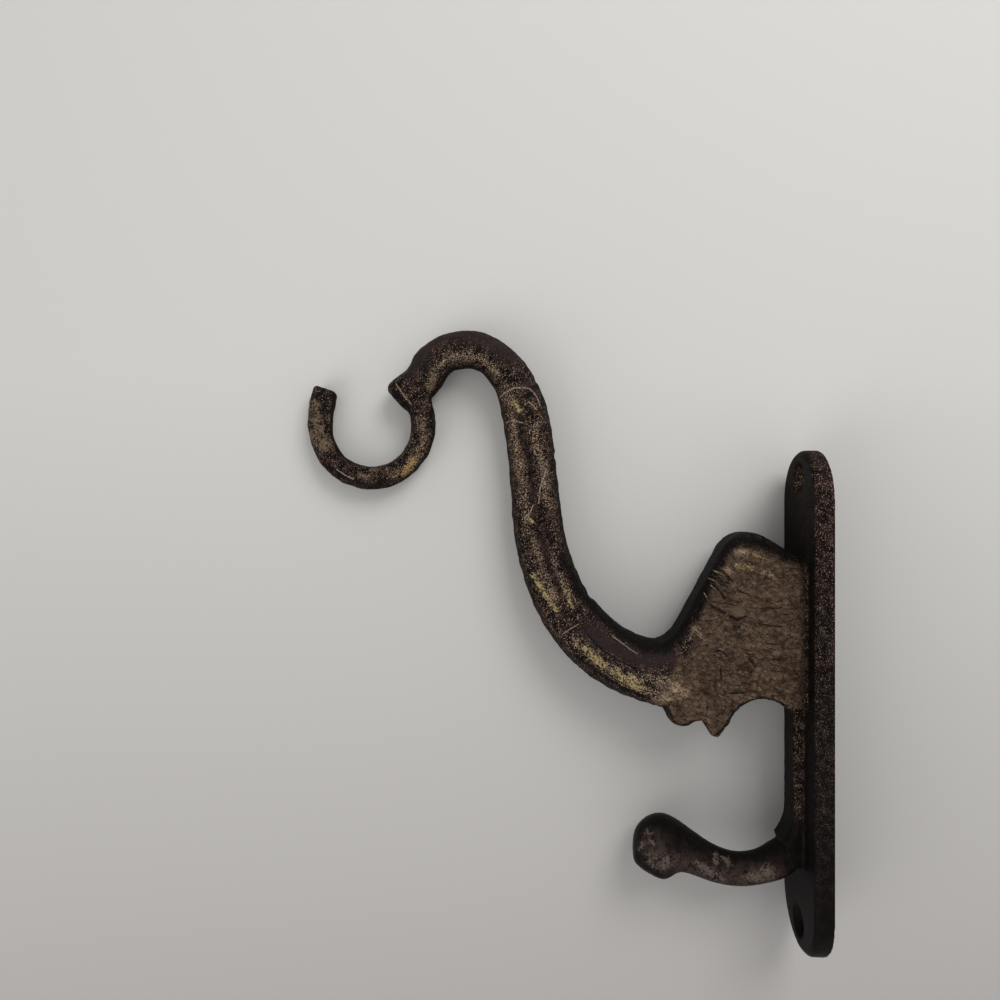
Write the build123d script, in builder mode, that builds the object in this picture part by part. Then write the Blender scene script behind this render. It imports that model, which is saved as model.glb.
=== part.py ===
"""Wall hook, cast in one piece: an elephant's head on a screw plate. The raised
trunk curls over and is drawn out into an open ring, and a short hook with a
knobbed end stands out below the jaw.

Millimetres. Y runs into the wall, whose face is Y = 0. Z is up. X runs across
the casting, which is alike on both sides of X = 0. The origin is the centre of
the plate's back face.
"""

import os
from collections import namedtuple

from build123d import *

# Screw plate against the wall
plate_width = 26.0
plate_height = 126.0
plate_thickness = 4.5
plate_bevel = 1.0
screw_inset = 7.0
screw_hole_radius = 2.25
countersink_radius = 4.2

# Head, the thickest part of the casting
head_thickness = 15.0
brow_foot = (-37.8, 12.6)
brow_foot_radius = 10.0
brow_crown = (-20.5, 45.6)
brow_crown_radius = 7.6
brow_round = 4.0
jaw_bevel = 0.4

# Rib in front of the plate, between the jaw and the lower hook
rib_depth = 2.4
rib_thickness = 10.0
rib_bevel = 1.2
throat_top = 0.9
throat_radius = 4.8
elbow_radius = 11.5
elbow_bottom = -36.0

# Open ring at the end of the trunk
ring_radius = 13.8
ring_bar_width = 6.1
ring_bar_thickness = 6.0
ring_end_bevel = 0.7

# Domed edges that the bars have instead of corners
trunk_dome = 2.3
ring_dome = 1.5
hook_dome = 2.6

# The deeper folds of skin across the back of the trunk: how far along the trunk
# from its mouth, as a share of its length, and how deep
folds = [(0.307, 0.4), (0.444, 0.45), (0.744, 0.6), (0.851, 0.4)]
fold_radius = 2.2

# Eye and the creases cut into both cheeks
eye_length = 3.4
eye_height = 2.4
eye_relief = 0.4
eye_middle = (-21.2, 23.1)
crease_width = 0.7
crease_depth = 0.5
creases = [
    ((-29.0, 27.5), (-27.0, 24.9), (-23.8, 22.8)),
    ((-26.7, 13.6), (-25.0, 13.0), (-23.5, 11.8)),
    ((-27.7, 1.4), (-25.5, 3.4), (-23.6, 5.9)),
]

# The sections of a bar, from its free end to its root. Each one has its middle
# on the casting's mid-plane, a width there, a thickness across, and the depth of
# the valley that runs along each flank.
Section = namedtuple("Section", "y z width thick valley")

trunk_sections = [
    Section(-107.5, 76.7, 6.6, 5.6, 0.05),
    Section(-106.2, 77.8, 9.2, 7.6, 0.05),
    Section(-104.2, 79.3, 9.6, 8.2, 0.05),
    Section(-101.3, 81.4, 9.8, 8.4, 0.05),
    Section(-97.8, 86.3, 10.2, 8.6, 0.05),
    Section(-92.2, 89.5, 9.8, 8.8, 0.05),
    Section(-84.4, 88.8, 9.7, 9.0, 0.05),
    Section(-77.4, 82.4, 10.5, 9.2, 0.10),
    Section(-73.6, 72.2, 12.0, 9.4, 0.35),
    Section(-71.5, 57.0, 12.3, 9.8, 0.45),
    Section(-69.9, 41.5, 13.0, 10.2, 0.45),
    Section(-66.2, 28.6, 13.6, 10.8, 0.40),
    Section(-58.2, 16.2, 14.9, 11.8, 0.30),
    Section(-48.5, 9.2, 15.4, 13.8, 0.15),
    Section(-41.5, 6.9, 16.2, 15.3, 0.05),
    Section(-34.0, 7.5, 13.0, 14.0, 0.05),
]

hook_sections = [
    Section(-45.8, -38.6, 4.5, 4.0, 0),
    Section(-44.9, -38.6, 9.0, 7.8, 0),
    Section(-42.0, -38.4, 13.4, 11.4, 0),
    Section(-38.4, -38.1, 15.4, 12.4, 0),
    Section(-33.4, -38.85, 11.1, 10.8, 0),
    Section(-26.4, -41.9, 8.6, 9.4, 0),
    Section(-19.5, -43.3, 7.9, 9.0, 0),
    Section(-13.4, -42.3, 7.8, 9.0, 0),
    Section(-8.4, -39.6, 8.3, 9.2, 0),
    Section(-4.8, -36.3, 8.8, 9.4, 0),
]

# How much wider the ring's bar is than its plain width, evenly spaced from its tip
ring_swell = [1.05, 1.04, 0.98, 1.0, 1.0, 1.03, 1.35]

screw_spacing = plate_height - 2 * screw_inset
head_flank = head_thickness / 2
rib_front = -plate_thickness - rib_depth
buried = -plate_thickness / 2


def bar_section(middle, width, thick, valley, dome):
    """A cast bar's section: domed edges, and flanks that are flat or have a shallow valley."""
    flank = thick / 2
    edge = width / 2
    shoulder = edge - min(dome, 0.6 * edge)
    with BuildSketch(middle) as section:
        with BuildLine():
            for side in (1, -1):
                low, high = (side * flank, -shoulder), (side * flank, shoulder)
                if valley:
                    ThreePointArc(low, (side * (flank - valley), 0), high)
                else:
                    Line(low, high)
                ThreePointArc(
                    (-flank, side * shoulder), (0, side * edge), (flank, side * shoulder)
                )
        make_face()
    return section.sketch


def across(route, share):
    """The plane square to a route, with its own X across the casting."""
    return Plane(route @ share, x_dir=(1, 0, 0), z_dir=route % share)


def groove_across(bar, route, share, height):
    """The middle of a round groove across a bar's back, at a height above its surface."""
    middle = across(route, share)
    outwards = middle.y_dir * -1
    surface = bar.find_intersection_points(Axis(middle.origin, outwards))[-1][0]
    return Plane(surface + outwards * height, middle.x_dir, middle.z_dir)


def smooth_route(sections):
    """The middle line of a bar, running smoothly through all its sections."""
    with BuildLine(Plane.YZ) as middle:
        Spline([(s.y, s.z) for s in sections])
    return middle.edges()[0]


def section_share(route, section):
    """How far along its route a section lies, from 0 to 1."""
    return route.param_at_point((0, section.y, section.z))


def bar_faces(route, sections, dome):
    """All the sections of a bar, ready to be lofted."""
    return [
        bar_section(
            across(route, section_share(route, s)), s.width, s.thick, s.valley, dome
        )
        for s in sections
    ]


trunk_route = smooth_route(trunk_sections)
hook_route = smooth_route(hook_sections)

# The ring's bar starts at its tip with an easy bend, then turns round its centre
with BuildLine() as ring_line:
    turn = CenterArc((-114.2, 70.1), ring_radius, 188, 210)
    TangentArc(turn @ 0, (-126.6, 80.1), tangent=(turn % 0) * -1)
ring_route = Plane.YZ * ring_line.wire()

with BuildPart() as trunk:
    loft(bar_faces(trunk_route, trunk_sections, trunk_dome))
    # Folds across the back
    for place, depth in folds:
        with Locations(groove_across(trunk.part, trunk_route, place, fold_radius - depth)):
            Cylinder(fold_radius, head_thickness, rotation=(0, 90, 0), mode=Mode.SUBTRACT)

with BuildPart() as lower_hook:
    loft(bar_faces(hook_route, hook_sections, hook_dome))

with BuildPart() as ring:
    loft(
        [
            bar_section(
                across(ring_route, index / (len(ring_swell) - 1)),
                ring_bar_width * swell,
                ring_bar_thickness * swell**0.5,
                0,
                ring_dome,
            )
            for index, swell in enumerate(ring_swell)
        ]
    )
    tip_face = ring.faces().sort_by_distance(ring_route @ 0)[0]
    chamfer(tip_face.edges(), ring_end_bevel)

# One side of the head, which is then mirrored: brow, jaw, the lobe behind the
# trunk's root and the pointed lower lip. The outline starts inside the trunk, in
# front of the bend at the brow's foot.
neck_top = (brow_foot[0] - 0.82 * brow_foot_radius, brow_foot[1] + 0.14 * brow_foot_radius)
with BuildPart() as head:
    with BuildSketch(Plane.YZ) as outline:
        with BuildLine():
            Polyline(
                neck_top, brow_foot, brow_crown, (buried, 34.1), (buried, -0.8), (-9.4, -0.6),
            )
            ThreePointArc((-9.4, -0.6), (-15.4, 1.7), (-20.0, 0.0))
            ThreePointArc((-20.0, 0.0), (-21.6, -1.7), (-22.7, -3.6))
            Line((-22.7, -3.6), (-24.9, -6.9))
            ThreePointArc((-24.9, -6.9), (-26.2, -7.8), (-28.0, -6.5))
            Polyline((-28.0, -6.5), (-29.2, -4.3), (-29.9, -3.9), (-31.6, -4.3))
            ThreePointArc((-31.6, -4.3), (-34.4, -5.45), (-37.2, -4.3))
            ThreePointArc((-37.2, -4.3), (-38.1, -3.2), (-37.9, -1.9))
            Polyline(
                (-37.9, -1.9), (-37.7, -0.3), (-39.5, -0.9), (-42.4, -0.2), (neck_top[0], 4.0),
                neck_top,
            )
        make_face()
        fillet(outline.vertices().sort_by_distance(brow_foot)[0], brow_foot_radius)
        fillet(outline.vertices().sort_by_distance(brow_crown)[0], brow_crown_radius)
    extrude(amount=head_flank)
    flank = head.faces().sort_by(Axis.X)[-1]
    crown_edge = flank.edges().filter_by(GeomType.CIRCLE).sort_by(Axis.Z)[-1]
    fillet(crown_edge, brow_round)
    flank = head.faces().sort_by(Axis.X)[-1]
    jaw_edges = flank.edges().filter_by_position(Axis.Z, -8, 2).sort_by(SortBy.LENGTH)[-5:]
    chamfer(jaw_edges, jaw_bevel)
    # Creases by the eye, on the cheek and along the mouth
    for start, bulge, end in creases:
        with BuildSketch(Plane.YZ.offset(head_flank - crease_depth)):
            with BuildLine():
                ThreePointArc(start, bulge, end)
            trace(line_width=crease_width)
        extrude(amount=2 * crease_depth, mode=Mode.SUBTRACT)
    eye_y, eye_z = eye_middle
    eye_front = (eye_y - eye_length / 2, eye_z)
    eye_back = (eye_y + eye_length / 2, eye_z)
    with BuildSketch(Plane.YZ.offset(head_flank - eye_relief)):
        with BuildLine():
            ThreePointArc(eye_front, (eye_y, eye_z + eye_height / 2), eye_back)
            ThreePointArc(eye_front, (eye_y, eye_z - eye_height / 2), eye_back)
        make_face()
    extrude(amount=2 * eye_relief)
    mirror(about=Plane.YZ)

# Rib between the jaw and the lower hook, hollowed out to a round throat and elbow
with BuildPart() as rib:
    throat_middle = (rib_front - throat_radius, throat_top - throat_radius)
    elbow_middle = (rib_front - elbow_radius, -27.4)
    with BuildSketch(Plane.YZ):
        with BuildLine():
            throat = CenterArc(throat_middle, throat_radius, 90, -90)
            elbow = CenterArc(elbow_middle, elbow_radius, 0, -40)
            Line(throat @ 1, elbow @ 0)
            Polyline(
                elbow @ 1, (rib_front, -40.5), (buried, -40.5), (buried, 6.0),
                (throat_middle[0], 6.0), throat @ 0,
            )
        make_face()
    extrude(amount=rib_thickness / 2)
    rib_flank = rib.faces().sort_by(Axis.X)[-1]
    front_edges = rib_flank.edges().filter_by_position(Axis.Y, -elbow_radius, rib_front)
    chamfer(front_edges.filter_by_position(Axis.Z, elbow_bottom, throat_top), rib_bevel)
    mirror(about=Plane.YZ)

with BuildPart() as casting:
    with BuildSketch(Plane.XZ):
        SlotOverall(plate_height, plate_width, rotation=90)
    extrude(amount=plate_thickness)
    plate_front = casting.faces().sort_by(Axis.Y)[0]
    chamfer(plate_front.edges(), plate_bevel)
    with Locations(Plane.XZ.offset(plate_thickness)):
        with GridLocations(screw_spacing, screw_spacing, 1, 2):
            CounterSinkHole(screw_hole_radius, countersink_radius)
    add(head.part)
    add(rib.part)
    add(trunk.part)
    add(ring.part)
    add(lower_hook.part)

casting.part.label = "hook_casting"
os.makedirs("parts", exist_ok=True)
export_step(casting.part, "parts/hook_casting.step")
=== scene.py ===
import itertools
import math

import bmesh
import bpy
import numpy as np
from mathutils import Matrix, Vector


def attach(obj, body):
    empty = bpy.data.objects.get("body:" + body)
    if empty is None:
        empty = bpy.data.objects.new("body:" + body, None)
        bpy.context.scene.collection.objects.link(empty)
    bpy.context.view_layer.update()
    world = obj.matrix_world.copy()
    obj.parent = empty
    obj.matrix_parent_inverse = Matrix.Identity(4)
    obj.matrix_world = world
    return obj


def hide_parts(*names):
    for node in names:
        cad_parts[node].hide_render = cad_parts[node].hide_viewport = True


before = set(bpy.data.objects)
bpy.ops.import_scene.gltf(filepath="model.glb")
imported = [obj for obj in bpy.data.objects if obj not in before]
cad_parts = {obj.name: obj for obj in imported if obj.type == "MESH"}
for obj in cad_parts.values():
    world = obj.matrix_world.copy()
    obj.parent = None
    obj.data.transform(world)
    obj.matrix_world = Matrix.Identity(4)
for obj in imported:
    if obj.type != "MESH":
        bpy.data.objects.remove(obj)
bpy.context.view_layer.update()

# The casting
# The whole hook is one piece of brass, poured in a sand mould. Here its CAD
# shape gets a skin of small faces, far fewer on the plain plate, and soft edges.
MM = 0.001
MERGE_GAP = 0.001 * MM
SKIN_GRAIN = 0.405 * MM
EDGE_SOFTNESS = 0.5
SOFTENING_PASSES = 4
PLATE_FRONT = -4.9 * MM
FACES_KEPT = 0.71

cad_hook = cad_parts["hook_casting"]
hook = bpy.data.objects.new("elephant_wall_hook", cad_hook.data.copy())
bpy.context.scene.collection.objects.link(hook)
loose = bmesh.new()
loose.from_mesh(hook.data)
bmesh.ops.remove_doubles(loose, verts=loose.verts, dist=MERGE_GAP)
loose.to_mesh(hook.data)
loose.free()


def settle(piece):
    """Turns a piece and its live modifiers into one plain mesh."""
    seen = piece.evaluated_get(bpy.context.evaluated_depsgraph_get())
    plain = bpy.data.meshes.new_from_object(seen)
    piece.modifiers.clear()
    piece.data = plain


def vertex_values(piece, name):
    """The places or normals of a piece's points, as rows of X, Y and Z."""
    values = np.empty(len(piece.data.vertices) * 3)
    piece.data.vertices.foreach_get(name, values)
    return values.reshape(-1, 3)


skin = hook.modifiers.new("skin", "REMESH")
skin.mode = "VOXEL"
skin.voxel_size = SKIN_GRAIN
skin.use_smooth_shade = True
soften = hook.modifiers.new("soften", "SMOOTH")
soften.factor = EDGE_SOFTNESS
soften.iterations = SOFTENING_PASSES
settle(hook)

on_plate = np.nonzero(vertex_values(hook, "co")[:, 1] > PLATE_FRONT)[0]
hook.vertex_groups.new(name="plate").add(on_plate.tolist(), 1.0, "REPLACE")
thin_out = hook.modifiers.new("thin_out", "DECIMATE")
thin_out.vertex_group = "plate"
thin_out.ratio = FACES_KEPT
settle(hook)
hook.vertex_groups.clear()

# Surface of the casting
# Sand leaves a lumpy, pitted skin. The head is tooled all over like an
# elephant's hide, and the trunk has long ridges and folds across its back.
SAND_SEED = 7
LATTICE = 32
FAR_OFF = 12.0

spots = vertex_values(hook, "co") / MM
facing = vertex_values(hook, "normal")
side_on = spots[:, 1:]
count = len(spots)
lattice = np.random.default_rng(SAND_SEED).uniform(-1, 1, (LATTICE, LATTICE, LATTICE))


def lumps(points, size):
    """Smooth random lumps from -1 to 1, of a size in millimetres. A number added
    to the points gives other lumps of the same kind."""
    cell = np.floor(points / size).astype(int)
    part = points / size - cell
    part = part * part * (3 - 2 * part)
    total = np.zeros(len(points))
    for corner in itertools.product((0, 1), repeat=3):
        weight = np.ones(len(points))
        for axis, far in enumerate(corner):
            weight = weight * (part[:, axis] if far else 1 - part[:, axis])
        key = (cell + corner) % LATTICE
        total += weight * lattice[key[:, 0], key[:, 1], key[:, 2]]
    return total


def ramp(value, start, end):
    """Rises smoothly from 0 at start to 1 at end."""
    way = np.clip((value - start) / (end - start), 0, 1)
    return way * way * (3 - 2 * way)


def apart(strokes):
    """How far each point is from the nearest of several lines, counted in widths
    of that line: sideways, with a sign for its side, and beyond its ends."""
    gap = np.full(count, np.inf)
    fields = np.full((count, 3), FAR_OFF)
    for width, path in strokes:
        for start, end in zip(path, path[1:]):
            start, run = np.array(start), np.array(end) - np.array(start)
            length = np.hypot(*run)
            sideways = (side_on - start) @ (-run[1], run[0]) / length / width
            along = (side_on - start) @ run / length
            beyond = np.maximum(np.maximum(-along, along - length), 0) / width
            closer = np.hypot(sideways, beyond) < gap
            gap[closer] = np.hypot(sideways, beyond)[closer]
            fields[closer, 0] = sideways[closer]
            fields[closer, 1] = beyond[closer]
    fields[gap > FAR_OFF - 1] = FAR_OFF
    return gap, fields


def any_of(strokes):
    """1 on the nearest of several strokes, fading out over its width."""
    return np.exp(-(apart(strokes)[0] ** 2))


# Where each part fades in, in millimetres, or by its turn to the side, from 0 to 1
FLANK_TURN = (0.2, 0.65)
EDGE_TURN = (0.55, 0.9)
ROOT_SLANT = 0.7
ROOT_TOP = 14
ROOT_RAGGED = 2.0
TRUNK_ROOT = (-44, -40)
HEAD_BACK = (4.6, 6.5)
HEAD_FOOT = (-9.5, -8.5)
CHEEK = (6.4, 7.2)
TRUNK_START = (37, 43)
TRUNK_FOOT = (-14, -6)
LOWER_HOOK = (26, 30)
PLATE_FACE = (-5.2, -4.6)
EYE_CENTRE = (-21.2, 23.1)
EYE_REACH = (1.85, 1.45)
LID_GAP = 1.2
LID_WIDTH = 0.25
SHADED_LOWER_LID = (-24.6, -22.4)

to_wall = side_on[:, 0]
height = side_on[:, 1]
turned = np.abs(facing[:, 0])
flank = ramp(turned, *FLANK_TURN)
edge = 1 - ramp(turned, *EDGE_TURN)
root_line = to_wall - ROOT_SLANT * np.minimum(height, ROOT_TOP) + ROOT_RAGGED * lumps(spots, 2.4)
head = ramp(root_line, *TRUNK_ROOT) * ramp(-to_wall, *HEAD_BACK)
head = head * ramp(height, *HEAD_FOOT) * ramp(np.abs(spots[:, 0]), *CHEEK)
trunk = ramp(-to_wall, *TRUNK_START) * ramp(height, *TRUNK_FOOT)
lower = ramp(-height, *LOWER_HOOK)
plate = ramp(to_wall, *PLATE_FACE)
eye_gap = np.hypot(*((side_on - EYE_CENTRE) / EYE_REACH).T)
eye = np.exp(-(eye_gap**4))
# The rim of the eye's lower half: a shallow groove in the casting, and painted shade in the
# colour
lid_groove_and_shade = np.exp(-(((eye_gap - LID_GAP) / LID_WIDTH) ** 2)) * ramp(-height, *SHADED_LOWER_LID) * flank

# The creases round the eye, on the cheek and on the trunk, and the long grooves.
# Each is a width and a path, in millimetres towards the wall and up along it.
CREASES = [
    (0.42, [(-29.9, 28.2), (-28.4, 26.0), (-27.0, 24.3), (-25.1, 23.1)]),
    (0.38, [(-28.7, 29.9), (-26.5, 29.2), (-24.6, 26.7)]),
    (0.32, [(-27.9, 31.9), (-25.8, 31.4), (-24.1, 29.4)]),
    (0.32, [(-27.0, 33.8), (-24.8, 33.1), (-22.9, 30.9)]),
    (0.2, [(-14.0, 24.2), (-12.4, 23.9), (-10.9, 24.2)]),
    (0.2, [(-15.7, 20.2), (-13.8, 19.8), (-10.9, 19.6)]),
    (0.17, [(-22.2, 19.4), (-20.5, 19.4)]),
    (0.17, [(-14.0, 15.4), (-11.7, 15.2)]),
    (0.14, [(-15.2, 13.7), (-13.3, 13.4)]),
    (0.15, [(-13.1, 11.5), (-10.9, 11.5)]),
    (0.19, [(-26.7, 13.2), (-25.3, 13.5), (-23.6, 12.1)]),
    (0.17, [(-19.1, 12.9), (-17.6, 12.6)]),
    (0.45, [(-18.1, 11.4), (-17.4, 10.4)]),
    (0.14, [(-19.8, 8.9), (-17.9, 8.2)]),
    (0.15, [(-13.1, 8.8), (-10.9, 8.6)]),
    (0.24, [(-25.3, 8.8), (-25.1, 6.4)]),
    (0.17, [(-20.3, 5.7), (-18.6, 5.5)]),
    (0.22, [(-22.9, 3.0), (-19.5, 3.3)]),
    (0.13, [(-20.5, 28.0), (-18.3, 27.3)]),
    (0.26, [(-22.9, 21.9), (-21.2, 21.1), (-19.5, 21.9)]),
    (0.14, [(-23.6, 25.0), (-21.7, 24.6)]),
    (0.16, [(-57.6, 16.4), (-54.1, 12.9), (-50.2, 10.5), (-44.7, 8.0), (-41.0, 7.4)]),
    (0.55, [(-60.4, 11.1), (-54.7, 7.0), (-49.2, 3.6), (-43.5, 1.7)]),
]
GROOVES = [
    (1.1, [
        (-75.5, 74.7), (-74.8, 69.6), (-73.0, 63.2), (-72.0, 55.6), (-71.5, 48.0), (-69.7, 40.4),
        (-66.9, 32.8), (-64.6, 27.3),
    ]),
    (0.7, [(-127.0, 62.3), (-123.8, 58.4), (-119.3, 55.2), (-113.4, 54.2), (-108.1, 55.5)]),
]
CREASE_SPREAD = 2.2
FOLD_WIDTH = 0.12
HIDE_DRAW = (1.0, 0.75, 1.35)
TOOL_DRAW = (1, 0.8, 1.2)
SKIN_LUMP, SKIN_PIT = 0.06, 0.05
EDGE_LUMP, EDGE_NICK = 0.16, 0.08
HEAD_LUMP, FOLD_DEPTH = 0.17, 0.14
CREASE_DEPTH, GROOVE_DEPTH = 0.26, 0.30
EYE_HEIGHT, LID_DEPTH = 0.30, 0.16

crease_gap, crease_fields = apart(CREASES)
crease = np.exp(-((crease_gap / CREASE_SPREAD) ** 2)) * flank
groove = any_of(GROOVES) * flank

hide = np.abs(lumps(spots * HIDE_DRAW + 40, 1.5) + 0.35 * lumps(spots + 90, 0.8))
hide_fold = np.exp(-((hide / FOLD_WIDTH) ** 2))
rise = (SKIN_LUMP * lumps(spots, 1.9) + SKIN_PIT * lumps(spots + 11, 0.85)) * (1 - 0.5 * lower)
rise += trunk * edge * (EDGE_LUMP * lumps(spots + 31, 2.6) + EDGE_NICK * lumps(spots + 3, 1.1))
rise += head * (HEAD_LUMP * lumps(spots * TOOL_DRAW + 60, 1.4) - FOLD_DEPTH * hide_fold)
rise -= CREASE_DEPTH * crease + GROOVE_DEPTH * groove
rise = rise * (1 - 0.9 * eye) + EYE_HEIGHT * eye - LID_DEPTH * lid_groove_and_shade
rise = rise * (1 - plate)
spots = spots + facing * rise[:, None]
hook.data.vertices.foreach_set("co", (spots * MM).ravel())
hook.data.update()

# Wear
# Years of handling have rubbed the high places down to brass, in patches of
# tan and dull gold, with a few fine scratches. Each stroke is a width and a path.
GOLD = [
    (1.15, [(-104.7, 57.3), (-103.7, 59.1), (-102.4, 60.6)]),
    (0.75, [(-76.3, 75.4), (-75.0, 73.4)]),
    (0.7, [(-72.5, 45.7), (-71.5, 44.7)]),
    (0.75, [(-71.5, 31.5), (-69.7, 28.8), (-67.7, 25.7), (-65.7, 23.0)]),
    (0.5, [(-64.1, 28.3), (-62.4, 26.8)]),
    (0.4, [(-62.4, 25.0), (-61.4, 23.5)]),
    (0.6, [(-60.4, 14.1), (-59.1, 13.3)]),
    (0.75, [(-58.4, 13.1), (-56.1, 11.4), (-53.4, 9.4)]),
    (0.45, [(-57.6, 11.4), (-53.7, 8.4)]),
    (1.15, [(-50.7, 7.8), (-47.3, 5.4), (-44.8, 3.7)]),
    (0.7, [(-47.3, 7.1), (-44.8, 5.4)]),
    (0.9, [(-21.4, 34.4), (-19.5, 33.9), (-17.9, 33.9)]),
    (0.45, [(-17.9, 37.6), (-15.2, 36.4)]),
]
TAN = [
    (1.5, [(-107.4, 57.0), (-103.7, 59.3), (-101.0, 62.2)]),
    (1.2, [(-100.5, 71.0), (-99.5, 66.1), (-101.3, 63.0)]),
    (1.3, [
        (-98.0, 77.3), (-97.8, 81.4), (-95.9, 85.0), (-92.3, 87.3), (-87.7, 87.5), (-83.8, 86.1),
        (-80.7, 82.5),
    ]),
    (2.0, [
        (-77.8, 78.0), (-76.0, 73.4), (-76.0, 65.8), (-74.5, 58.1), (-73.5, 51.8), (-72.2, 45.5),
    ]),
    (1.6, [(-71.2, 69.5), (-70.5, 64.5), (-68.9, 58.1), (-68.4, 53.1), (-67.4, 49.3)]),
    (1.6, [(-71.5, 41.7), (-69.4, 35.3), (-67.7, 30.3), (-65.9, 25.2)]),
    (1.3, [(-67.2, 35.4), (-64.6, 30.3), (-62.1, 25.3)]),
    (1.7, [(-60.1, 14.6), (-54.7, 10.5), (-47.2, 4.8), (-41.1, 2.5)]),
    (2.2, [(-43.7, 6.7), (-38.0, 5.5), (-34.6, 3.1)]),
    (1.5, [(-41.9, 3.0), (-38.0, 1.3)]),
    (0.9, [(-26.3, 33.4), (-23.4, 33.4)]),
    (1.0, [(-22.4, 38.0), (-19.5, 37.8)]),
    (0.8, [(-15.0, 32.7), (-13.1, 32.0)]),
    (0.9, [(-32.0, 19.0), (-30.4, 17.6)]),
]
BLOOM = [
    (2.3, [(-129.1, 73.6), (-128.3, 68.9), (-126.2, 64.4)]),
    (1.1, [(-124.8, 73.5), (-124.8, 71.4)]),
    (1.0, [(-116.6, 56.8), (-114.7, 56.5)]),
    (0.8, [(-113.7, 58.3), (-111.8, 58.3)]),
    (1.2, [(-97.8, 82.8), (-97.6, 78.9)]),
    (1.1, [(-44.0, -32.5), (-42.0, -30.7), (-39.3, -29.9)]),
    (1.1, [(-44.3, -33.3), (-42.8, -32.7)]),
    (0.6, [(-42.0, -34.5), (-41.5, -35.7)]),
    (0.6, [(-44.8, -37.3), (-44.0, -35.8)]),
    (1.4, [(-42.3, -39.2), (-39.3, -40.1), (-37.9, -39.0)]),
    (0.8, [(-26.0, -40.0), (-25.5, -38.3)]),
    (0.5, [(-27.4, -36.4), (-26.7, -36.1)]),
    (1.0, [(-23.8, -39.2), (-22.3, -40.1)]),
    (0.7, [(-30.6, -39.7), (-29.4, -40.7)]),
    (1.3, [(-28.9, -41.4), (-26.9, -43.1), (-25.2, -44.2)]),
    (1.6, [(-17.7, -43.4), (-15.3, -42.9), (-13.1, -41.8)]),
]
SMOOTH = [
    (2.8, [(-56.5, 17.6), (-54.7, 15.6), (-49.3, 12.7), (-43.6, 10.8), (-38.0, 11.6)]),
    (2.2, [(-103.0, 84.0), (-98.5, 90.6), (-92.2, 93.2), (-84.5, 92.2), (-76.8, 87.2)]),
]
RUST = [
    (3.0, [
        (-42.0, -35.0), (-39.5, -38.3), (-34.0, -40.3), (-27.0, -42.6), (-20.0, -44.0),
        (-12.0, -43.0),
    ]),
]
# Black bands along the trunk's tip, its inner edge at the root, the brow and crown, and under the
# mouth and trunk root: dark patina, with painted shade where these walls and undersides are
# turned from the light.
RIM_PATINA_AND_SHADE = [
    (0.8, [(-107.6, 79.0), (-105.6, 76.8), (-104.0, 74.6), (-103.2, 71.5)]),
    (1.5, [(-64.0, 36.0), (-59.7, 27.4), (-55.3, 22.1), (-48.5, 16.3), (-43.6, 13.9)]),
    (2.1, [(-43.6, 13.9), (-38.7, 13.9), (-34.4, 17.7), (-30.2, 26.4), (-27.4, 32.5)]),
    (1.7, [(-31.5, 21.5), (-29.4, 26.0)]),
    (2.6, [(-27.4, 32.5), (-25.6, 37.0), (-20.8, 41.0), (-15.2, 40.0), (-9.0, 36.8)]),
    (0.5, [(-9.4, 0.2), (-15.4, 2.3), (-20.3, 0.4), (-22.2, -1.7), (-25.2, -6.2), (-26.2, -7.0)]),
    (0.4, [(-37.6, -1.5), (-36.9, -4.0), (-34.4, -5.0), (-31.6, -3.9), (-28.2, -6.2)]),
]
SCRATCHES = [
    (0.17, [
        (-79.9, 77.0), (-77.8, 78.2), (-76.3, 79.0), (-74.3, 79.2), (-72.2, 78.7), (-71.0, 77.4),
        (-70.0, 75.6), (-69.7, 74.6),
    ]),
    (0.16, [(-72.5, 75.4), (-71.5, 74.6), (-70.7, 73.6)]),
    (0.13, [(-78.3, 70.4), (-76.3, 70.8), (-73.8, 70.1)]),
    (0.13, [(-68.2, 58.1), (-68.9, 55.6), (-69.7, 53.3), (-70.0, 49.8)]),
    (0.15, [(-71.5, 49.0), (-72.2, 47.2), (-73.5, 46.0)]),
    (0.11, [(-63.9, 16.7), (-62.1, 18.0), (-60.1, 19.2)]),
    (0.13, [(-51.4, 16.4), (-49.4, 15.0), (-47.4, 13.5), (-45.7, 12.5)]),
    (0.16, [(-22.9, 30.4), (-21.9, 29.0), (-21.2, 26.5)]),
    (0.15, [(-29.1, 27.4), (-28.2, 25.7), (-26.5, 24.5), (-23.8, 23.3)]),
    (0.15, [(-32.0, 19.0), (-30.4, 16.9), (-28.4, 15.4), (-27.2, 14.2)]),
    (0.13, [(-32.8, 16.1), (-32.0, 18.1)]),
    (0.12, [(-18.8, 26.6), (-17.6, 25.1)]),
    (0.14, [(-25.5, 14.0), (-24.3, 13.5), (-23.4, 12.1)]),
    (0.12, [(-19.8, 30.2), (-18.8, 28.8)]),
    (0.14, [(-27.0, 33.1), (-25.1, 32.4), (-23.8, 30.7)]),
    (0.14, [(-27.9, 31.1), (-26.3, 30.4), (-24.8, 28.5)]),
    (0.13, [(-27.5, 29.4), (-26.0, 28.2), (-25.1, 26.5)]),
    (0.13, [(-106.8, 80.4), (-105.2, 78.0), (-103.1, 75.4)]),
    (0.16, [(-122.7, 58.4), (-120.8, 57.1), (-118.5, 56.0)]),
]
RING_START = (96, 99)
SHOWN_SIDE = (0, 1.5)

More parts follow.
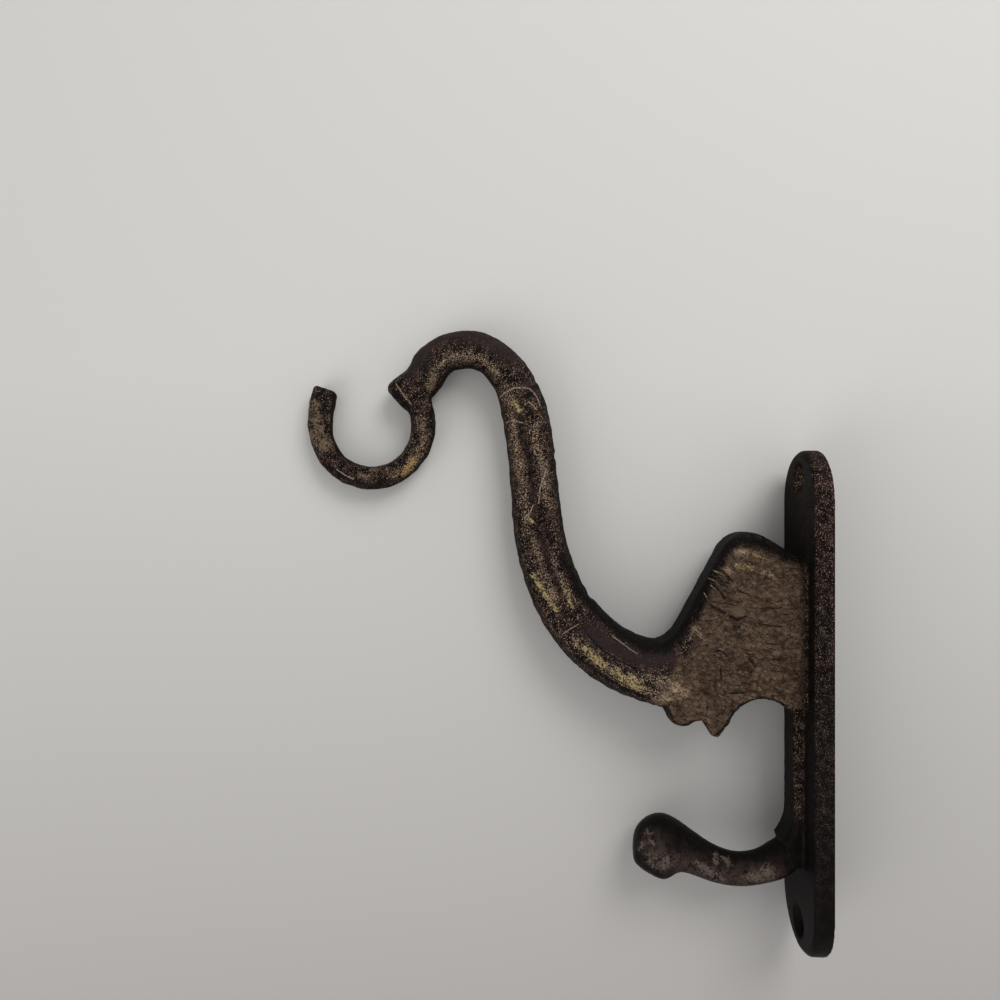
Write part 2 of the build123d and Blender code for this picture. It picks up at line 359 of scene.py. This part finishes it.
scratch_fields = apart(SCRATCHES)[1]
layers = {
    "gold": any_of(GOLD) * flank,
    "tan": any_of(TAN) * flank,
    "bloom": any_of(BLOOM) * flank,
    "groove": groove,
    "smooth": any_of(SMOOTH) * flank,
    "rim_patina_and_shade": any_of(RIM_PATINA_AND_SHADE),
    "rust": any_of(RUST) * flank,
    "hide": head * flank * (1 - plate),
    "folds_and_lid_shade": head * hide_fold * (1 - eye) + 0.6 * lid_groove_and_shade,
    "eye": eye * flank,
    "ring": ramp(-to_wall, *RING_START),
    "flank": flank,
    "lower": lower,
    "shown": ramp(spots[:, 0], *SHOWN_SIDE) * flank,
}
for name, amount in layers.items():
    layer = hook.data.attributes.new(name, "FLOAT", "POINT")
    layer.data.foreach_set("value", amount.astype(np.float32))
for name, fields in (("scratch", scratch_fields), ("crease", crease_fields)):
    layer = hook.data.attributes.new(name, "FLOAT_VECTOR", "POINT")
    layer.data.foreach_set("vector", fields.astype(np.float32).ravel())

# Patina
# Old brass gone dark brown, almost black in the hollows and on the edges,
# leather brown on the head, and tan to gold where it is rubbed. Painted shade
# darkens bands along the outlines and the eye's lower rim, and painted
# highlights lie on the hide's raised strands.
patina = bpy.data.materials.new("old_brass_patina")
patina.use_nodes = True


class Wire:
    """A socket on which sums can be written like numbers."""

    def __init__(self, material, socket):
        self.material = material
        self.socket = socket

    def sum(self, kind, first, second):
        return add(self.material, "ShaderNodeMath", {"operation": kind}, {0: first, 1: second})[0]

    def __add__(self, other):
        return self.sum("ADD", self, other)

    def __radd__(self, other):
        return self.sum("ADD", other, self)

    def __sub__(self, other):
        return self.sum("SUBTRACT", self, other)

    def __rsub__(self, other):
        return self.sum("SUBTRACT", other, self)

    def __mul__(self, other):
        return self.sum("MULTIPLY", self, other)

    def __rmul__(self, other):
        return self.sum("MULTIPLY", other, self)

    def __abs__(self):
        return self.sum("ABSOLUTE", self, 0.0)


def add(material, kind, settings, inputs):
    """Adds a node: its settings first, then the values or links of its sockets,
    by name or number. Gives back its outputs in their order."""
    node = material.node_tree.nodes.new(kind)
    for name, value in settings.items():
        setattr(node, name, value)
    for name, value in inputs.items():
        if isinstance(value, Wire):
            material.node_tree.links.new(value.socket, node.inputs[name])
        else:
            node.inputs[name].default_value = value
    return [Wire(material, socket) for socket in node.outputs]


# The sockets that are picked by number, because several share a name
VECTOR_OUT = 1
NUMBER_OUT = 2
OBJECT_OUT = 3
BACK_OUT = 6
MIX_OUT = 2
MIX_UNDER = 6
MIX_OVER = 7
LINE_EDGE = (0.3, 1.4)
LINE_END = (0.5, 3.0)


def painted(name):
    """A layer of the hook's own, such as its wear."""
    return add(patina, "ShaderNodeAttribute", {"attribute_name": name}, {})[NUMBER_OUT]


def step(value, start, end):
    """Rises smoothly from 0 at start to 1 at end."""
    return add(
        patina,
        "ShaderNodeMapRange",
        {"interpolation_type": "SMOOTHSTEP"},
        {"Value": value, "From Min": start, "From Max": end},
    )[0]


def drawn(name):
    """1 on the fine lines of a layer, 0 beside them."""
    fields = add(patina, "ShaderNodeAttribute", {"attribute_name": name}, {})[VECTOR_OUT]
    sideways, beyond, _ = add(patina, "ShaderNodeSeparateXYZ", {}, {0: fields})
    return (1 - step(abs(sideways), *LINE_EDGE)) * (1 - step(beyond, *LINE_END))


def blend(cover, under, over, material=patina):
    """Lays one colour over another, where the cover is 1."""
    return add(
        material,
        "ShaderNodeMix",
        {"data_type": "RGBA"},
        {0: cover, MIX_UNDER: under, MIX_OVER: over},
    )[MIX_OUT]


def cloud(scale, detail, where):
    """Cloudy noise from 0 to 1, with its scale for each millimetre."""
    return add(
        patina,
        "ShaderNodeTexNoise",
        {},
        {"Vector": where, "Scale": scale, "Detail": detail, "Roughness": 0.6},
    )[0]


def stretched(turn, size):
    """Places turned about X and drawn out, so that a cloud there becomes strands."""
    return add(
        patina,
        "ShaderNodeMapping",
        {"vector_type": "TEXTURE"},
        {"Vector": here, "Rotation": (turn, 0, 0), "Scale": size},
    )[0]


patina.node_tree.nodes.clear()
here = add(patina, "ShaderNodeTexCoord", {}, {})[OBJECT_OUT]
here = add(
    patina, "ShaderNodeVectorMath", {"operation": "SCALE"}, {0: here, "Scale": 1 / MM}
)[0]
mottle = cloud(0.55, 4.0, here)
speck = cloud(2.0, 5.0, here)
grain = cloud(3.3, 2.0, here)
wrinkle = abs(cloud(0.5, 3.0, stretched(-0.15, (1.0, 1.6, 0.8))) - 0.5)
strand = cloud(1.0, 3.0, stretched(-0.65, (0.6, 1.5, 0.3)))
patch = 0.5 * speck + 0.5 * strand - 0.5

BLACK_PATINA = (0.0045, 0.0036, 0.0036, 1)
MAROON_PATINA = (0.024, 0.0130, 0.0115, 1)
SMOOTH_PURPLE = (0.024, 0.0165, 0.0165, 1)
LOWER_BROWN = (0.048, 0.0320, 0.0275, 1)
HIDE_DARK = (0.034, 0.0205, 0.0150, 1)
HIDE_BROWN = (0.145, 0.0945, 0.0620, 1)
EYE_BROWN = (0.090, 0.0640, 0.0450, 1)
HIDE_SPECK_AND_HIGHLIGHT = (0.245, 0.172, 0.106, 1)
BLOOM_GREY = (0.108, 0.084, 0.067, 1)
BLOOM_TAN = (0.150, 0.106, 0.072, 1)
TAN_DULL = (0.150, 0.104, 0.076, 1)
TAN_WEAR = (0.320, 0.232, 0.150, 1)
GOLD_DULL = (0.170, 0.130, 0.066, 1)
GOLD_WEAR = (0.325, 0.250, 0.118, 1)
OCHRE_WEAR = (0.310, 0.195, 0.078, 1)
SCRATCH_TAN = (0.300, 0.230, 0.165, 1)

RAGGED_WEAR, RAGGED_RIM_SHADE, RAGGED_BLOOM = 5.0, 3.0, 4.0
FLECKS = (0.40, 0.60)
BUMP_STRENGTH = 0.9
BUMP_HEIGHT = 0.28 * MM
DARK_GLOSS = 0.03

on_lower_hook = painted("lower")
on_head = painted("hide")
on_flank = painted("flank")
tan = painted("tan")
smooth = painted("smooth")
blotch = 0.4 * mottle + 0.6 * speck - 0.5
fleck = step(speck, *FLECKS)

gold = step(painted("gold"), 0.08, 0.30)
gold = gold * step(0.8 * painted("gold") + RAGGED_WEAR * patch, 0.45, 0.75)
rim_patina_and_shade = painted("rim_patina_and_shade") * step(painted("rim_patina_and_shade") + RAGGED_RIM_SHADE * patch, 0.25, 0.7)
bloom = step(painted("bloom"), 0.02, 0.4)
bloom = bloom * step(0.5 * painted("bloom") + RAGGED_BLOOM * blotch, 0.1, 0.8)
tan_patch = tan * step(0.6 * tan + RAGGED_WEAR * patch, 0.1, 0.7)

# The dark ground
maroon = step(mottle, 0.42, 0.62) * (0.2 + 0.8 * on_flank) * (1 - 0.8 * on_lower_hook)
rust = painted("rust") * step(0.5 * mottle + 0.5 * speck, 0.36, 0.58)
dark = blend(maroon, BLACK_PATINA, MAROON_PATINA)
dark = blend(rust, dark, LOWER_BROWN)
dark = blend(smooth * 0.9, dark, SMOOTH_PURPLE)
# Black bands along the outlines: dark patina with painted shade
dark = blend(rim_patina_and_shade, dark, BLACK_PATINA)

# Tan grains and soft blooms on it
grains = step(grain + 0.09 * tan + 0.18 * (mottle - 0.5), 0.59, 0.65)
grains = grains * (0.1 + 0.9 * on_flank) * (1 - 0.85 * painted("groove")) * (1 - on_lower_hook)
grains = grains * (1 - 0.9 * smooth) * (1 - 0.9 * rim_patina_and_shade)
colour = blend(grains, dark, blend(fleck, TAN_DULL, TAN_WEAR))
colour = blend(0.9 * bloom, colour, blend(on_lower_hook, BLOOM_TAN, BLOOM_GREY))

# The head's leather brown
leather = step(0.35 * mottle + 0.3 * speck + 0.35 * grain, 0.32, 0.66)
skin_colour = blend(leather, HIDE_DARK, HIDE_BROWN)
skin_colour = blend(step(cloud(0.2, 2.0, here), 0.44, 0.62) * 0.45, skin_colour, HIDE_DARK)
# Pale tan: painted highlights along the raised strands of the hide, then specks of its own colour
skin_colour = blend(step(strand, 0.52, 0.72) * 0.55, skin_colour, HIDE_SPECK_AND_HIGHLIGHT)
skin_colour = blend(step(grain, 0.60, 0.70) * 0.4, skin_colour, HIDE_SPECK_AND_HIGHLIGHT)
skin_colour = blend((1 - step(wrinkle, 0.0, 0.03)) * 0.5, skin_colour, BLACK_PATINA)
skin_colour = blend(tan_patch, skin_colour, TAN_WEAR)
skin_colour = blend(painted("eye") * 0.9, skin_colour, EYE_BROWN)
colour = blend(on_head * (1 - rim_patina_and_shade), colour, skin_colour)

# Rubbed gold, dark folds and creases, painted shade under the eye, and scratches
rubbed = blend(painted("ring"), blend(fleck, GOLD_DULL, GOLD_WEAR), OCHRE_WEAR)
colour = blend(gold, colour, rubbed)
# Black in the hide's folds, and painted shade along the lower rim of the eye
colour = blend(painted("folds_and_lid_shade") * 0.6, colour, BLACK_PATINA)
colour = blend(drawn("crease") * (0.6 + 0.3 * step(speck, 0.40, 0.56)), colour, BLACK_PATINA)
scratch = drawn("scratch") * painted("shown") * step(speck, 0.30, 0.56) * (0.9 - 0.65 * on_head)
colour = blend(scratch, colour, SCRATCH_TAN)

relief = (0.5 - 0.35 * on_head) * speck + (0.4 - 0.25 * on_head) * grain - 0.8 * drawn("crease")
tooling = 2.0 * step(wrinkle, 0.0, 0.10) + 1.4 * strand + 2.2 * mottle
relief = relief + on_head * (1 - 0.9 * painted("eye")) * tooling
bumpy = add(
    patina,
    "ShaderNodeBump",
    {},
    {"Strength": BUMP_STRENGTH, "Distance": BUMP_HEIGHT, "Height": relief},
)[0]
metal = add(
    patina,
    "ShaderNodeBsdfPrincipled",
    {},
    {
        "Base Color": colour,
        "Metallic": 0.4 * gold,
        "Roughness": 0.55 - 0.12 * gold - 0.15 * on_lower_hook,
        "Specular IOR Level": DARK_GLOSS,
        "Normal": bumpy,
    },
)[0]
add(patina, "ShaderNodeOutputMaterial", {}, {"Surface": metal})

hook.data.materials.clear()
hook.data.materials.append(patina)
for face in hook.data.polygons:
    face.use_smooth = True
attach(hook, "root")
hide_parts("hook_casting")

# The table
# A smooth pale board, on which the hook lies on its side, tipped a little by
# its wider screw plate. Its colour is painted darker and warmer towards the
# front and lighter towards the back, a painted fall-off of the light.
TILT = math.radians(4.4)
REST = 13.0 * MM
HALF_BOARD = 1.2
FALLOFF_FRONT_HEIGHT = -100 * MM
FALLOFF_BACK_HEIGHT = 85 * MM
# The board's two colours: painted shade at the front, painted light at the back
BOARD_FRONT_SHADED = (0.412, 0.393, 0.382, 1)
BOARD_BACK_LIT = (0.590, 0.579, 0.555, 1)
up = Vector((math.cos(TILT), math.sin(TILT), 0))
across = Vector((-math.sin(TILT), math.cos(TILT), 0))
upwards = Vector((0, 0, 1))

board = bpy.data.materials.new("pale_board")
board.use_nodes = True
board.node_tree.nodes.clear()
board_spot = add(board, "ShaderNodeTexCoord", {}, {})[OBJECT_OUT]
board_height = add(board, "ShaderNodeSeparateXYZ", {}, {0: board_spot})[2]
# Painted fall-off of the light, from the darker front to the lighter back
light_falloff = add(
    board,
    "ShaderNodeMapRange",
    {},
    {"Value": board_height, "From Min": FALLOFF_FRONT_HEIGHT, "From Max": FALLOFF_BACK_HEIGHT},
)[0]
board_colour_with_painted_falloff = blend(light_falloff, BOARD_FRONT_SHADED, BOARD_BACK_LIT, board)
behind = add(board, "ShaderNodeNewGeometry", {}, {})[BACK_OUT]
paint = add(
    board,
    "ShaderNodeBsdfPrincipled",
    {},
    {"Base Color": board_colour_with_painted_falloff, "Roughness": 0.9, "Specular IOR Level": 0.1},
)[0]
clear = add(board, "ShaderNodeBsdfTransparent", {}, {})[0]
either = add(board, "ShaderNodeMixShader", {}, {0: behind, 1: paint, 2: clear})[0]
add(board, "ShaderNodeOutputMaterial", {}, {"Surface": either})

corners = []
for sideways, vertical in ((-1, -1), (1, -1), (1, 1), (-1, 1)):
    corner = across * sideways * HALF_BOARD + upwards * vertical * HALF_BOARD - up * REST
    corners.append(tuple(corner))
table_mesh = bpy.data.meshes.new("table")
table_mesh.from_pydata(corners, [], [(0, 1, 2, 3)])
table_mesh.materials.append(board)
table = bpy.data.objects.new("table", table_mesh)
bpy.context.scene.collection.objects.link(table)

# Light
# Soft daylight from all round, with a window at the upper right that is the main
# light, and a weaker, broader light at the lower left that opens the shadows.
ROOM_LIGHT = 0.60
AIM = (0, -0.06, 0.02)

world = bpy.data.worlds.new("room")
bpy.context.scene.world = world
world.use_nodes = True
world.node_tree.nodes["Background"].inputs["Color"].default_value = (1, 1, 1, 1)
world.node_tree.nodes["Background"].inputs["Strength"].default_value = ROOM_LIGHT


def lamp(name, place, size, power):
    """A square soft light, aimed at the hook."""
    light = bpy.data.lights.new(name, "AREA")
    light.shape = "SQUARE"
    light.size = size
    light.energy = power
    holder = bpy.data.objects.new(name, light)
    holder.location = place
    holder.rotation_euler = (Vector(AIM) - Vector(place)).to_track_quat("-Z", "Y").to_euler()
    bpy.context.scene.collection.objects.link(holder)


lamp("window", place=(0.42, 0.20, 0.46), size=0.34, power=2.2)
lamp("fill", place=(0.40, -0.50, -0.30), size=0.50, power=1.3)

# Camera
# It looks straight down on the board from close by, with a wide lens. The
# picture's right is towards the wall side, and its top is the hook's own top.
CAMERA_PLACE = (0.1951, -0.0652, 0.0505)

camera = bpy.data.cameras.new("camera")
camera.lens = 27
camera.sensor_width = 36
camera.clip_start = 0.005
viewpoint = bpy.data.objects.new("camera", camera)
sight = Matrix((across, upwards, up)).transposed()
viewpoint.matrix_world = Matrix.Translation(CAMERA_PLACE) @ sight.to_4x4()
bpy.context.scene.collection.objects.link(viewpoint)
bpy.context.scene.camera = viewpoint
bpy.context.scene.view_settings.view_transform = "Standard"
